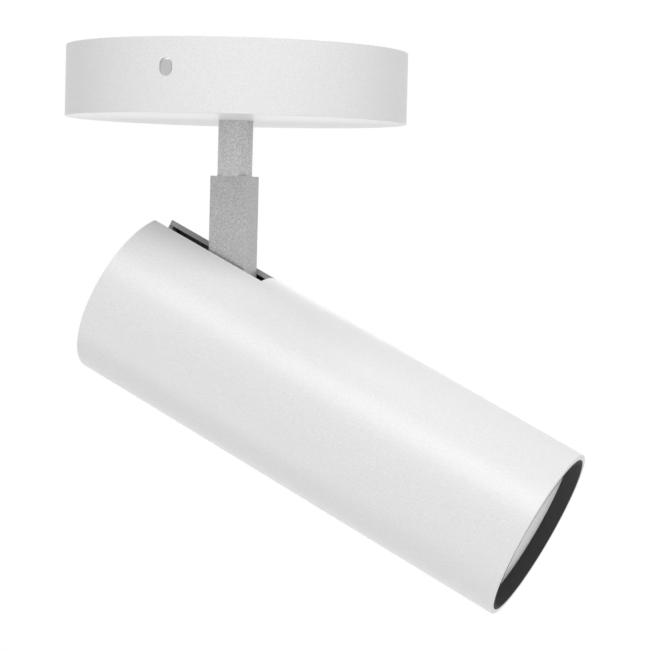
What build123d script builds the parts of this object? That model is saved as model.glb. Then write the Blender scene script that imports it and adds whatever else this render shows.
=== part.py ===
from build123d import *
import math
import os

# Monopoint spotlight: a round canopy on the ceiling, a swivelling stem with a flat tongue, and a slotted
# cylinder head that tilts on the tongue. Millimetres. The origin is the centre of the canopy's ceiling
# plane, +Z is up and +X is the way the head points. Each function makes one piece where it is fitted.

# Canopy cup
canopy_diameter = 124.3
canopy_height = 25.5
canopy_wall = 1.5
canopy_edge_radius = 0.3
canopy_inner_edge_radius = 0.5
side_hole_width = 4.7
side_hole_height = 6.2
side_hole_depth = 10.2

# Ceiling bracket
bracket_width = 20.0
bracket_thickness = 1.6
bracket_end_gap = 0.3
bracket_slot_spacing = 78.5
bracket_slot_length = 16.5
bracket_slot_width = 5.0
nipple_hole_diameter = 10.6
lug_distance = 50.0
lug_width = 6.0
lug_drop = 14.5
lug_bend_radius = 2.0
lug_fork_gap = 0.5
lug_root = 3.2
locking_screw_diameter = 4.0
locking_screw_length = 16.0
locking_screw_proud = 1.2
locking_socket_depth = 2.5

# Earth point on the bracket
earth_screw_distance = 18.0
earth_screw_diameter = 4.0
earth_screw_head = 7.0
earth_screw_head_height = 2.2
earth_screw_slot_width = 1.0
earth_screw_slot_depth = 0.8
ring_terminal_diameter = 8.0
ring_terminal_thickness = 0.8
ring_barrel_diameter = 3.0
ring_barrel_length = 6.0
ring_neck_length = 1.0
ring_neck_width = 2.4
ring_barrel_end = 1.5

# Swivel between canopy and stem
hub_diameter = 38.0
hub_flange = 2.5
hub_edge = 0.5
hub_boss_diameter = 21.0
hub_boss_height = 2.0
hub_recess_diameter = 18.0
hub_recess_depth = 1.6
stud_diameter = 3.0
stud_circle_diameter = 30.0
stud_stand = 5.4
stud_count = 3
nut_across_flats = 5.5
nut_height = 2.4
bush_wall = 1.2
bush_flange_diameter = 19.0
bush_flange = 0.8
thrust_washer_thickness = 0.5
stop_washer_thickness = 1.0
stop_tab_width = 3.0
stop_tab_reach = 15.2
stop_pin_diameter = 3.0
stop_pin_circle_radius = 13.5
stop_pin_proud = 0.2
wave_washer_thickness = 0.8
wave_washer_diameter = 18.0
washer_diameter = 19.0
stem_nut_across_flats = 18.0
stem_nut_height = 4.0
stem_above_nut = 0.4
ring_thickness = 1.0
ring_diameter = 16.6
ring_groove_depth = 0.45
ring_gap = 3.0
ring_rise = 0.1

# Stem rod and tongue
stem_diameter = 12.7
stem_bore = 7.0
stem_flat_depth = 1.0
stem_length_below_canopy = 20.2
spigot_diameter = 9.0
spigot_length = 10.0
tongue_width = 14.5
tongue_thickness = 11.8
tongue_edge = 0.3
tongue_window_width = 6.0
tongue_window_low = 9.0
tongue_window_high = 30.0
tongue_socket_end_gap = 0.5
grub_diameter = 3.0
grub_length = 2.6
grub_socket = 1.5
grub_socket_depth = 1.3
grub_drop = 5.0
grommet_flange = 0.8
grommet_wall = 0.9
grommet_lip = 1.5
grommet_foot = 0.5

# Head: pivot, tube and slot
pivot_depth = 110.4
tilt_at_rest = 26.0
tube_diameter = 63.5
tube_wall = 1.9
tube_behind_pivot = 46.5
tube_ahead_of_pivot = 130.8
tube_edge = 0.25
slot_width = 15.5
slot_ahead_of_pivot = 1.2
cap_thickness = 1.6
cap_slot_margin = 0.95
cap_slot_corner_radius = 2.0
pillar_diameter = 5.0
pillar_wall_gap = 8.75
pillar_drop = 8.0
pillar_stud_length = 8.0
pillar_tap_depth = 9.0

# Head: pivot hardware and yoke
pivot_bolt_diameter = 6.0
pivot_bolt_head_diameter = 10.0
pivot_bolt_head_height = 3.0
pivot_bolt_head_rounding = 1.2
pivot_nut_across_flats = 10.0
pivot_nut_height = 5.0
pivot_bolt_past_nut = 0.8
pivot_bolt_socket = 4.0
pivot_bolt_socket_depth = 2.2
friction_washer_diameter = 14.0
friction_washer_thickness = 1.0
spring_washer_diameter = 12.0
spring_washer_thickness = 0.8
arm_thickness = 2.6
arm_height = 18.0
yoke_wall_gap = 2.75
yoke_base_thickness = 2.5
yoke_base_ahead = 30.0
yoke_screw_grid = 14.0
yoke_screw_length = 10.0

# Head: heat sink and light source
heat_sink_length = 37.5
heat_sink_fin_depth = 6.75
heat_sink_fin_count = 24
heat_sink_fin_thickness = 1.8
heat_sink_rib_width = 8.0
lead_hole_drop = 13.0
lead_hole_diameter = 10.8
bulkhead_grommet_wall = 2.0
bulkhead_flange_thickness = 1.2
chassis_screw_spacing = 15.0
chassis_screw_length = 8.5
chassis_tap_past_screw = 1.0
thermal_pad_side = 21.0
thermal_pad_thickness = 0.5
thermal_pad_cut = 3.0
led_board_side = 19.0
led_board_thickness = 1.5
led_board_cut = 2.0
led_emitter_diameter = 14.0
led_emitter_thickness = 0.5
holder_diameter = 36.0
holder_height = 4.5
holder_window_diameter = 18.0
holder_window_flare = 22.0
holder_screw_side = 14.0
holder_screw_length = 9.0
holder_notch_width = 8.0
holder_notch_drop = 15.5
holder_board_gap = 0.3
holder_edge = 0.8

# Head: optics at the front
lens_depth = 5.3
lens_thickness = 3.3
lens_edge = 0.4
front_ring_width = 1.15
front_ring_recess = 0.05
gasket_thickness = 1.2
gasket_width = 2.0
reflector_wall = 0.8
reflector_neck = 23.0
reflector_flange_width = 1.75
reflector_flange_thickness = 1.0

# Machine screws of 3 mm and their heads, and nuts, whose rounded corners go by their width across flats
screw_diameter = 3.0
pan_head_diameter = 5.6
pan_head_height = 2.0
pan_head_rounding = 0.9
countersunk_head_diameter = 6.0
countersunk_head_height = 1.5
cap_screw_length = 8.0
recess_width = 3.4
recess_slot = 0.7
recess_depth = 0.8
small_socket = 2.0
small_socket_depth = 1.2
screw_end_chamfer = 0.4
nut_round_share = 1.12
nut_chamfer_share = 0.06

# Driver box, terminal block and their fixings
driver_hub_gap = 2.0
driver_length = 56.0
driver_wall_gap = 2.5
driver_height = 17.0
driver_wall = 1.6
driver_corner_radius = 2.0
driver_edge_radius = 1.0
driver_lip_height = 1.4
driver_lip_gap = 0.2
driver_stand_off = 0.4
driver_ear_length = 6.0
driver_ear_width = 12.0
driver_ear_thickness = 2.0
board_thickness = 1.6
board_stand = 3.0
board_edge_gap = 0.5
board_leg_diameter = 2.4
board_leg_inset = 3.0
transformer_length = 16.0
transformer_depth = 14.0
transformer_height = 8.6
transformer_offset = 12.0
transformer_notch_length = 8.0
transformer_notch_height = 1.7
capacitor_diameter = 8.0
capacitor_length = 13.0
capacitor_gap = 2.0
capacitor_edge_radius = 0.6
capacitor_offset = 9.0
input_exit_offset = 20.0
input_exit_rise = 4.4
output_exit_offset = 5.0
output_exit_rise = 12.0
exit_spacing = 3.2
terminal_length = 16.0
terminal_height = 11.0
terminal_pitch = 7.0
terminal_count = 3
terminal_wall_distance = 19.65
terminal_wall = 1.2
terminal_insert_diameter = 4.6
terminal_insert_bore = 3.2
terminal_screw_diameter = 2.6
terminal_screw_spacing = 8.0
terminal_screw_hole_gap = 0.4
terminal_screw_bite = 0.8
terminal_insert_inset = 1.0
terminal_groove_width = 1.0
terminal_groove_depth = 2.5
terminal_edge_radius = 0.8

# Leads
core_diameter = 1.8
core_spacing = 2.2
sheath_diameter = 4.0
sheath_top_drop = 6.0
earth_lead_diameter = 2.0
board_lead_diameter = 1.4
board_lead_spacing = 1.7

# Clearances
running_clearance = 0.05
assembly_clearance = 0.05
screw_clearance = 0.1
lead_hole_clearance = 0.4
stem_hole_clearance = 0.3
washer_clearance = 0.1
tube_fit_clearance = 0.1

# How far a cutter reaches past the surface that it cuts, or a piece into the one that it joins
past = 1.0

# Places worked out from the sizes above
canopy_radius = canopy_diameter / 2
canopy_inner_radius = canopy_radius - canopy_wall
floor_top = canopy_wall - canopy_height
hub_flange_top = floor_top + hub_flange
hub_top = hub_flange_top + hub_boss_height
bush_top = hub_top + bush_flange
thrust_top = bush_top + thrust_washer_thickness
stop_top = thrust_top + stop_washer_thickness
wave_top = stop_top + wave_washer_thickness
stem_nut_top = wave_top + stem_nut_height
stem_top = stem_nut_top + stem_above_nut
stem_radius = stem_diameter / 2
tongue_top = -canopy_height - stem_length_below_canopy
ring_low = floor_top + (hub_recess_depth - ring_thickness) / 2 + ring_rise
sheath_top = stem_top - sheath_top_drop
arm_inner = tongue_thickness / 2 + friction_washer_thickness + washer_clearance
arm_outer = arm_inner + arm_thickness
tube_radius = tube_diameter / 2
tube_inner_radius = tube_radius - tube_wall
insert_radius = tube_inner_radius - tube_fit_clearance
pillar_side = insert_radius - pillar_wall_gap
reflector_mouth = 2 * (insert_radius - reflector_flange_width)
heat_sink_back = yoke_base_ahead + yoke_base_thickness
heat_sink_front = heat_sink_back + heat_sink_length
board_back = heat_sink_front + thermal_pad_thickness
emitter_back = board_back + led_board_thickness
head_lead_start = yoke_base_ahead - bulkhead_flange_thickness - sheath_diameter / 2
head_lead_end = heat_sink_front - 1.5 * sheath_diameter
holder_front = heat_sink_front + holder_height
holder_screw_seat = holder_front - pan_head_height - screw_clearance
lens_front = tube_ahead_of_pivot - lens_depth
lens_back = lens_front - lens_thickness
gasket_back = lens_back - gasket_thickness
driver_low = floor_top + driver_stand_off
driver_inner_face = hub_diameter / 2 + driver_hub_gap
driver_reach = canopy_inner_radius - driver_wall_gap
driver_outer_face = math.sqrt(driver_reach**2 - (driver_length / 2) ** 2)
driver_middle = (driver_inner_face + driver_outer_face) / 2
terminal_low = floor_top + driver_stand_off
terminal_depth = terminal_count * terminal_pitch + 2 * terminal_wall
terminal_centre = terminal_wall_distance - canopy_inner_radius

in_head = Pos(0, 0, -pivot_depth) * Rot(0, tilt_at_rest, 0)


def block(x_low, x_high, y_low, y_high, z_low, z_high):
    centre = Pos((x_low + x_high) / 2, (y_low + y_high) / 2, (z_low + z_high) / 2)
    return centre * Box(x_high - x_low, y_high - y_low, z_high - z_low)


def post(diameter, z_low, z_high, x=0, y=0):
    return Pos(x, y, (z_low + z_high) / 2) * Cylinder(diameter / 2, z_high - z_low)


def post_along_x(diameter, x_low, x_high, y=0, z=0):
    return Pos((x_low + x_high) / 2, y, z) * Rot(0, 90, 0) * Cylinder(diameter / 2, x_high - x_low)


def post_along_y(diameter, y_low, y_high, x=0, z=0):
    return Pos(x, (y_low + y_high) / 2, z) * Rot(90, 0, 0) * Cylinder(diameter / 2, y_high - y_low)


def washer(diameter, bore, z_low, z_high):
    return post(diameter, z_low, z_high) - post(bore, z_low, z_high)


def hexagon(across_flats, z_low, z_high, x=0, y=0):
    face = Pos(x, y, z_low) * RegularPolygon(across_flats / 2, 6, major_radius=False)
    return extrude(face, z_high - z_low)


def hex_nut(across_flats, bore, z_low, z_high, x=0, y=0):
    nut = hexagon(across_flats, z_low, z_high, x, y)
    rounding = post(across_flats * nut_round_share, z_low, z_high, x, y)
    rounding = chamfer(rounding.edges().filter_by(GeomType.CIRCLE), across_flats * nut_chamfer_share)
    return (nut & rounding) - post(bore, z_low, z_high, x, y)


def pan_screw(x, y, z_seat, length):
    # Shank points down from the seat and the head stands on it, with a cross recess in its top.
    head = post(pan_head_diameter, z_seat, z_seat + pan_head_height, x, y)
    head = fillet(head.edges().sort_by(Axis.Z)[-1], pan_head_rounding)
    top = Pos(x, y, z_seat + pan_head_height)
    cross = top * Box(recess_width, recess_slot, 2 * recess_depth)
    cross += top * Box(recess_slot, recess_width, 2 * recess_depth)
    return head + post(screw_diameter, z_seat - length, z_seat, x, y) - cross


def countersunk_screw(length):
    # Flat top at z = 0, shank pointing down.
    cone = Pos(0, 0, -countersunk_head_height / 2) * Cone(
        screw_diameter / 2, countersunk_head_diameter / 2, countersunk_head_height
    )
    socket = hexagon(small_socket, -small_socket_depth, 0)
    return cone + post(screw_diameter, -length, 0) - socket


def countersink(length):
    # Cutter for a countersunk screw: the screw's own shape, larger by the screw clearance.
    cone = Pos(0, 0, -countersunk_head_height / 2) * Cone(
        screw_diameter / 2 + screw_clearance,
        countersunk_head_diameter / 2 + screw_clearance,
        countersunk_head_height,
    )
    return cone + post(screw_diameter + 2 * screw_clearance, -length, 0)


def lead(name, points, diameter):
    # A lead as one tube: straight runs joined by arcs as large as their runs allow. A run in the middle
    # is shared by two arcs, and an end run has one.
    corners = [Vector(*p) for p in points]
    runs = [b - a for a, b in zip(corners, corners[1:])]
    room = [0.45 * run.length for run in runs]
    room[0] *= 2
    room[-1] *= 2
    radii = []
    for i, (one, two) in enumerate(zip(runs, runs[1:])):
        half_turn = math.radians(one.get_angle(two)) / 2
        radii.append(min(room[i], room[i + 1]) / math.tan(half_turn))
    path = FilletPolyline(*corners, radius=radii)
    tube = sweep(Plane(path @ 0, z_dir=path % 0) * Circle(diameter / 2), path=path)
    expected = math.pi * diameter**2 / 4 * path.length
    print(name, "length", round(path.length, 1), "radii", [round(r, 1) for r in radii],
          "volume ratio", round(tube.volume / expected, 4))
    return tube


# Canopy pieces


def stud_places():
    turns = [2 * math.pi * i / stud_count for i in range(stud_count)]
    radius = stud_circle_diameter / 2
    return [(radius * math.cos(turn), radius * math.sin(turn)) for turn in turns]


def driver_stud_places():
    side = driver_length / 2 + driver_ear_length / 2
    return [(driver_middle, side), (driver_middle, -side)]


def canopy_shell():
    outer = Pos(0, 0, -canopy_height / 2) * Cylinder(canopy_radius, canopy_height)
    outer = fillet(outer.edges().sort_by(Axis.Z)[0], canopy_edge_radius)
    inner = post(2 * canopy_inner_radius, floor_top, past)
    inner = fillet(inner.edges().sort_by(Axis.Z)[0], canopy_inner_edge_radius)
    stem_hole = stem_diameter + 2 * stem_hole_clearance
    shell = outer - inner - post(stem_hole, -canopy_height - past, floor_top + past)
    hole = SlotOverall(side_hole_height, side_hole_width, rotation=90)
    shell -= extrude(Plane.XZ * Pos(0, -side_hole_depth) * hole, canopy_radius + past, both=True)
    for x, y in stud_places() + driver_stud_places():
        shell += post(stud_diameter, floor_top - canopy_wall / 2, floor_top + stud_stand, x, y)
    return shell


def ceiling_bracket():
    reach = canopy_inner_radius - bracket_end_gap
    half = bracket_width / 2
    bar = block(-half, half, -reach, reach, -bracket_thickness, 0)
    bar = bar & post(2 * reach, -bracket_thickness, 0)
    bar -= post(nipple_hole_diameter, -bracket_thickness, 0)
    for side in (1, -1):
        slot = SlotOverall(bracket_slot_length, bracket_slot_width, rotation=90)
        place = Pos(0, side * bracket_slot_spacing / 2, -bracket_thickness)
        bar -= extrude(place * slot, bracket_thickness)
        fork = lug_width + 2 * lug_fork_gap
        low, high = sorted((side * (lug_distance - bracket_thickness / 2), side * (reach + past)))
        bar -= block(-fork / 2, fork / 2, low, high, -bracket_thickness, 0)
        bar += Rot(0, 0, 0 if side > 0 else 180) * bracket_lug()
    earth_hole = earth_screw_diameter + 2 * assembly_clearance
    bar -= post(earth_hole, -bracket_thickness, 0, 0, earth_screw_distance)
    return bar


def bracket_lug():
    # The end of the bar, cut free and bent down, with a tapped hole level with the canopy's side hole.
    out = lug_distance + bracket_thickness / 2
    inside = lug_distance - bracket_thickness / 2
    start = inside - lug_root
    outline = Polyline(
        (start, 0), (out, 0), (out, -lug_drop), (inside, -lug_drop),
        (inside, -bracket_thickness), (start, -bracket_thickness), close=True,
    )
    face = make_face(outline)
    bend = face.vertices().sort_by_distance((out, 0, 0))[0]
    face = fillet(bend, lug_bend_radius)
    lug = extrude(Plane.YZ * face, lug_width / 2, both=True)
    hole = locking_screw_diameter + 2 * assembly_clearance
    return lug - post_along_y(hole, inside - past, out + past, 0, -side_hole_depth)


def locking_screw():
    # Headless screw turned back into its lug, with a hex socket in its outer end.
    out = lug_distance + bracket_thickness / 2 + locking_screw_proud
    screw = post_along_y(locking_screw_diameter, out - locking_screw_length, out, 0, -side_hole_depth)
    screw = chamfer(screw.edges().filter_by(GeomType.CIRCLE), screw_end_chamfer)
    socket = Pos(0, out, -side_hole_depth) * Rot(90, 0, 0) * hexagon(small_socket, 0, locking_socket_depth)
    return screw - socket


def canopy_locking_screws():
    return Compound(children=[locking_screw(), Rot(0, 0, 180) * locking_screw()])


def earth_screw():
    seat = -bracket_thickness - ring_terminal_thickness
    head = hexagon(earth_screw_head, seat - earth_screw_head_height, seat, 0, earth_screw_distance)
    shank = post(earth_screw_diameter, seat, -assembly_clearance, 0, earth_screw_distance)
    face = Pos(0, earth_screw_distance, seat - earth_screw_head_height)
    return head + shank - face * Box(earth_screw_head, earth_screw_slot_width, 2 * earth_screw_slot_depth)


def earth_ring_terminal():
    low = -bracket_thickness - ring_terminal_thickness
    y = earth_screw_distance
    ring = post(ring_terminal_diameter, low, -bracket_thickness, 0, y)
    edge = -ring_terminal_diameter / 2
    z = -bracket_thickness - ring_barrel_diameter / 2
    half = ring_neck_width / 2
    barrel_high = edge - ring_neck_length
    barrel_low = barrel_high - ring_barrel_length
    neck = block(barrel_high - half, 0, y - half, y + half, low, -bracket_thickness)
    barrel = post_along_x(ring_barrel_diameter, barrel_low, barrel_high, y, z)
    bore = post_along_x(earth_lead_diameter, barrel_low, barrel_high - ring_barrel_end, y, z)
    hole = post(earth_screw_diameter + 2 * screw_clearance, low - past, 0, 0, y)
    return ring + neck + barrel - bore - hole


def earth_lead():
    y = earth_screw_distance
    start = -ring_terminal_diameter / 2 - ring_neck_length - ring_barrel_length
    z = -bracket_thickness - ring_barrel_diameter / 2
    end_x = terminal_centre + terminal_pitch
    end_y = terminal_length / 2
    end_z = terminal_low + terminal_height / 2
    run = end_x - start
    fall = end_z - z
    points = [
        (start, y, z), (start + 0.3 * run, y, z + 0.1 * fall),
        (start + 0.72 * run, 1.25 * y, z + 0.75 * fall),
        (end_x, end_y + 0.4 * y, end_z), (end_x, end_y, end_z),
    ]
    return lead("earth_lead", points, earth_lead_diameter)


def terminal_block():
    half = terminal_depth / 2
    high = terminal_low + terminal_height
    body = block(
        terminal_centre - half, terminal_centre + half,
        -terminal_length / 2, terminal_length / 2, terminal_low, high,
    )
    body = fillet(body.edges().filter_by(Axis.Z), terminal_edge_radius)
    middle = terminal_low + terminal_height / 2
    hole = terminal_insert_diameter + 2 * assembly_clearance
    screw_hole = terminal_screw_diameter + 2 * terminal_screw_hole_gap
    for x in terminal_places():
        body -= post_along_y(hole, -terminal_length / 2, terminal_length / 2, x, middle)
        for y in (terminal_screw_spacing / 2, -terminal_screw_spacing / 2):
            body -= post(screw_hole, middle, high, x, y)
    half_groove = terminal_groove_width / 2
    for x in terminal_places()[1:]:
        edge = x - terminal_pitch / 2
        body -= block(edge - half_groove, edge + half_groove,
                      -terminal_length / 2, terminal_length / 2, high - terminal_groove_depth, high)
    return body


def terminal_places():
    first = terminal_centre - terminal_pitch * (terminal_count - 1) / 2
    return [first + terminal_pitch * i for i in range(terminal_count)]


def terminal_inserts():
    middle = terminal_low + terminal_height / 2
    inserts = []
    for x in terminal_places():
        high = terminal_length / 2 - terminal_insert_inset
        sleeve = post_along_y(terminal_insert_diameter, -high, high, x, middle)
        sleeve -= post_along_y(terminal_insert_bore, -high, high, x, middle)
        top = middle + terminal_insert_diameter
        for y in (terminal_screw_spacing / 2, -terminal_screw_spacing / 2):
            sleeve -= post(terminal_screw_diameter + 2 * assembly_clearance, middle, top, x, y)
        inserts.append(sleeve)
    return Compound(children=inserts)


def terminal_screws():
    middle = terminal_low + terminal_height / 2
    high = terminal_low + terminal_height - terminal_insert_inset
    low = middle + terminal_insert_bore / 2 - terminal_screw_bite
    screws = []
    for x in terminal_places():
        for y in (terminal_screw_spacing / 2, -terminal_screw_spacing / 2):
            screw = post(terminal_screw_diameter, low, high, x, y)
            slot = Pos(x, y, high) * Box(terminal_screw_diameter, recess_slot, 2 * recess_depth)
            screws.append(screw - slot)
    return Compound(children=screws)


def driver_case():
    x_low, x_high = driver_inner_face, driver_outer_face
    y = driver_length / 2
    base_top = driver_low + driver_wall
    high = driver_low + driver_height
    body = block(x_low, x_high, -y, y, base_top, high)
    body = fillet(body.edges().filter_by(Axis.Z), driver_corner_radius)
    body = fillet(body.edges().group_by(Axis.Z)[-1], driver_edge_radius)
    w = driver_wall
    body -= block(x_low + w, x_high - w, -y + w, y - w, base_top, high - w)
    hole = core_diameter + 2 * lead_hole_clearance
    for y_in, z_in in input_exits() + output_exits():
        body -= post_along_x(hole, x_low - past, x_low + w + past, y_in, z_in)
    return body


def driver_base():
    x_low, x_high = driver_inner_face, driver_outer_face
    y = driver_length / 2
    w = driver_wall
    top = driver_low + w
    plate = block(x_low, x_high, -y, y, driver_low, top)
    plate = fillet(plate.edges().filter_by(Axis.Z), driver_corner_radius)
    out = w + driver_lip_gap
    lip_top = top + driver_lip_height
    lip = block(x_low + out, x_high - out, -y + out, y - out, top, lip_top)
    plate += lip - block(x_low + 2 * w, x_high - 2 * w, -y + 2 * w, y - 2 * w, top, lip_top)
    for x, y_stud in driver_stud_places():
        half = driver_ear_width / 2
        side = math.copysign(1, y_stud)
        y_low, y_high = sorted((side * (y - past), side * (y + driver_ear_length)))
        ear = block(x - half, x + half, y_low, y_high, floor_top, floor_top + driver_ear_thickness)
        plate += ear - post(stud_diameter + 2 * screw_clearance, floor_top, 0, x, y_stud)
    return plate


def driver_circuit_board():
    w = driver_wall + board_edge_gap
    x_low, x_high = driver_inner_face + w, driver_outer_face - w
    y = driver_length / 2 - w
    low = driver_low + driver_wall + board_stand
    board = block(x_low, x_high, -y, y, low, low + board_thickness)
    for x in (x_low + board_leg_inset, x_high - board_leg_inset):
        for y_leg in (-y + board_leg_inset, y - board_leg_inset):
            board += post(board_leg_diameter, driver_low + driver_wall, low, x, y_leg)
    return board


def board_top():
    return driver_low + driver_wall + board_stand + board_thickness


def driver_transformer():
    x, y = driver_middle, -transformer_offset
    z = board_top()
    half = transformer_depth / 2
    end = transformer_length / 2
    notch = transformer_notch_length / 2
    core = block(x - half, x + half, y - end, y + end, z, z + transformer_height)
    return core - block(x - half, x + half, y - notch, y + notch, z, z + transformer_notch_height)


def driver_capacitors():
    cans = []
    step = (capacitor_diameter + capacitor_gap) / 2
    z = board_top() + capacitor_diameter / 2
    y_low, y_high = capacitor_offset - capacitor_length / 2, capacitor_offset + capacitor_length / 2
    for x in (driver_middle - step, driver_middle + step):
        can = post_along_y(capacitor_diameter, y_low, y_high, x, z)
        cans.append(fillet(can.edges().filter_by(GeomType.CIRCLE), capacitor_edge_radius))
    return Compound(children=cans)


def stud_nuts(places, seat):
    bore = stud_diameter + 2 * assembly_clearance
    nuts = [hex_nut(nut_across_flats, bore, seat, seat + nut_height, x, y) for x, y in places]
    return Compound(children=nuts)


def input_exits():
    z = driver_low + input_exit_rise
    return [(-input_exit_offset, z), (-input_exit_offset + exit_spacing, z)]


def output_exits():
    z = driver_low + output_exit_rise
    return [(output_exit_offset, z), (output_exit_offset + exit_spacing, z)]


def driver_input_leads():
    # Round the hub's -Y side, one lead outside the other, to the two outer ways of the terminal block.
    end_y = -terminal_length / 2
    z = terminal_low + terminal_height / 2
    hub = hub_diameter / 2
    leads = []
    for i, (y, z_start) in enumerate(input_exits()):
        reach = hub + 4 * core_diameter + 1.5 * core_diameter * (1 - i)
        end_x = terminal_centre - terminal_pitch * (1 - i)
        points = [
            (driver_inner_face, y, z_start), (0.7 * driver_inner_face, y - core_diameter, z_start),
            (0.1 * hub, -reach, z_start), (-0.75 * hub, -reach - core_diameter, z_start),
            (end_x + 0.6 * hub, -reach, z), (end_x, -0.75 * reach, z), (end_x, end_y, z),
        ]
        leads.append(lead(f"driver_input_lead {i + 1}", points, core_diameter))
    return Compound(children=leads)


def driver_output_leads():
    leads = []
    for i, (y, z) in enumerate(output_exits()):
        side = core_spacing / 2 * (2 * i - 1)
        top = -bracket_thickness - 2 * core_diameter
        points = [
            (0, side, sheath_top), (0, side, top), (0.65 * driver_inner_face, side + 0.7 * (y - side), top),
            (driver_inner_face, y, z),
        ]
        leads.append(lead(f"driver_output_lead {i + 1}", points, core_diameter))
    return Compound(children=leads)


def swivel_hub():
    hub = post(hub_diameter, floor_top, hub_flange_top)
    hub = chamfer(hub.edges().sort_by(Axis.Z)[-1], hub_edge)
    hub += post(hub_boss_diameter, hub_flange_top, hub_top)
    hub -= post(hub_recess_diameter, floor_top, floor_top + hub_recess_depth)
    hub -= post(bush_outer_diameter() + 2 * assembly_clearance, floor_top, hub_top)
    for x, y in stud_places():
        hub -= post(stud_diameter + 2 * screw_clearance, floor_top, hub_flange_top, x, y)
    pin = stop_pin_diameter + 2 * assembly_clearance
    return hub - post(pin, floor_top, hub_flange_top, -stop_pin_circle_radius, 0)


def bush_outer_diameter():
    return stem_diameter + 2 * running_clearance + 2 * bush_wall


def swivel_bush():
    low = floor_top + hub_recess_depth
    bush = post(bush_outer_diameter(), low, bush_top) + post(bush_flange_diameter, hub_top, bush_top)
    return bush - post(stem_diameter + 2 * running_clearance, low, bush_top)


def stop_pin():
    pin = post(stop_pin_diameter, floor_top, stop_top + stop_pin_proud, -stop_pin_circle_radius, 0)
    return chamfer(pin.edges().sort_by(Axis.Z)[-1], screw_end_chamfer)


# Stem pieces


def stem_rod():
    rod = post(stem_diameter, tongue_top, stem_top)
    rod = chamfer(rod.edges().sort_by(Axis.Z)[-1], screw_end_chamfer)
    flat = stem_radius - stem_flat_depth
    flat_low = thrust_top - assembly_clearance
    rod -= block(-stem_radius - past, -flat, -stem_radius, stem_radius, flat_low, stem_top)
    groove_low = ring_low - assembly_clearance
    groove_high = ring_low + ring_thickness + assembly_clearance
    groove = washer(stem_diameter + past, stem_diameter - 2 * ring_groove_depth, groove_low, groove_high)
    rod -= groove
    rod += post(spigot_diameter, tongue_top - spigot_length, tongue_top)
    return rod - post(stem_bore, tongue_top - spigot_length, stem_top)


def stem_retaining_ring():
    bore = stem_diameter - 2 * ring_groove_depth + 2 * assembly_clearance
    ring = washer(ring_diameter, bore, ring_low, ring_low + ring_thickness)
    half = ring_gap / 2
    return ring - block(0, ring_diameter, -half, half, ring_low - past, ring_low + ring_thickness + past)


def thrust_washer():
    return washer(washer_diameter, stem_diameter + 2 * assembly_clearance, bush_top, thrust_top)


def keyed_bore(z_low, z_high):
    radius = stem_radius + assembly_clearance
    flat = stem_radius - stem_flat_depth + assembly_clearance
    return post(2 * radius, z_low, z_high) - block(-radius - past, -flat, -radius, radius, z_low, z_high)


def stop_washer():
    plate = post(washer_diameter, thrust_top, stop_top)
    half = stop_tab_width / 2
    plate += block(0, stop_tab_reach, -half, half, thrust_top, stop_top)
    return plate - keyed_bore(thrust_top, stop_top)


def wave_washer():
    return washer(wave_washer_diameter, stem_diameter + 2 * assembly_clearance, stop_top, wave_top)


def stem_nut():
    return hex_nut(stem_nut_across_flats, stem_diameter + 2 * assembly_clearance, wave_top, stem_nut_top)


def stem_grommet():
    outer = stem_bore - 2 * assembly_clearance
    sleeve = post(outer, sheath_top + grommet_foot, stem_top)
    sleeve += post(stem_bore + 2 * grommet_lip, stem_top, stem_top + grommet_flange)
    return sleeve - post(stem_bore - 2 * grommet_wall, sheath_top, stem_top + grommet_flange)


def stem_tongue():
    x, y = tongue_width / 2, tongue_thickness / 2
    body = block(-x, x, -y, y, -pivot_depth, tongue_top)
    body += post_along_y(tongue_width, -y, y, 0, -pivot_depth)
    body = chamfer(body.edges().filter_by(Axis.Z), tongue_edge)
    socket = spigot_diameter + 2 * assembly_clearance
    body -= post(socket, tongue_top - spigot_length - tongue_socket_end_gap, tongue_top)
    body -= post(stem_bore, -pivot_depth + tongue_window_low, tongue_top)
    half = tongue_window_width / 2
    low, high = -pivot_depth + tongue_window_low, -pivot_depth + tongue_window_high
    body -= block(-x - past, 0, -half, half, low, high)
    grub = grub_diameter + 2 * assembly_clearance
    body -= post_along_x(grub, -x - past, -spigot_diameter / 2, 0, tongue_top - grub_drop)
    pin = pivot_bolt_diameter + 2 * running_clearance
    return body - post_along_y(pin, -y, y, 0, -pivot_depth)


def tongue_grub_screw():
    inner = -spigot_diameter / 2 - assembly_clearance
    z = tongue_top - grub_drop
    grub = post_along_x(grub_diameter, inner - grub_length, inner, 0, z)
    socket = Pos(inner - grub_length, 0, z) * Rot(0, 90, 0) * hexagon(grub_socket, 0, grub_socket_depth)
    return grub - socket


def tilt_lead_points():
    # The bend behind the tongue, under the pivot and forward along the head to its bulkhead.
    window = tongue_window_high - tongue_window_low
    top = tongue_window_high - pivot_depth
    behind = -tongue_width / 2 - 1.5 * sheath_diameter
    line = [in_head * Pos(s, 0, -lead_hole_drop) for s in (-1.2 * sheath_diameter, head_lead_start)]
    ends = [tuple(p.position) for p in line]
    return [
        (0, 0, top + 2 * sheath_diameter), (0, 0, top - sheath_diameter),
        (behind, 0, tongue_window_low - pivot_depth - 0.1 * window),
    ] + ends


def stem_lead():
    return post(sheath_diameter, tilt_lead_points()[0][2], sheath_top)


# Head pieces, made with the pivot at the origin and the head's axis along +X


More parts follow.
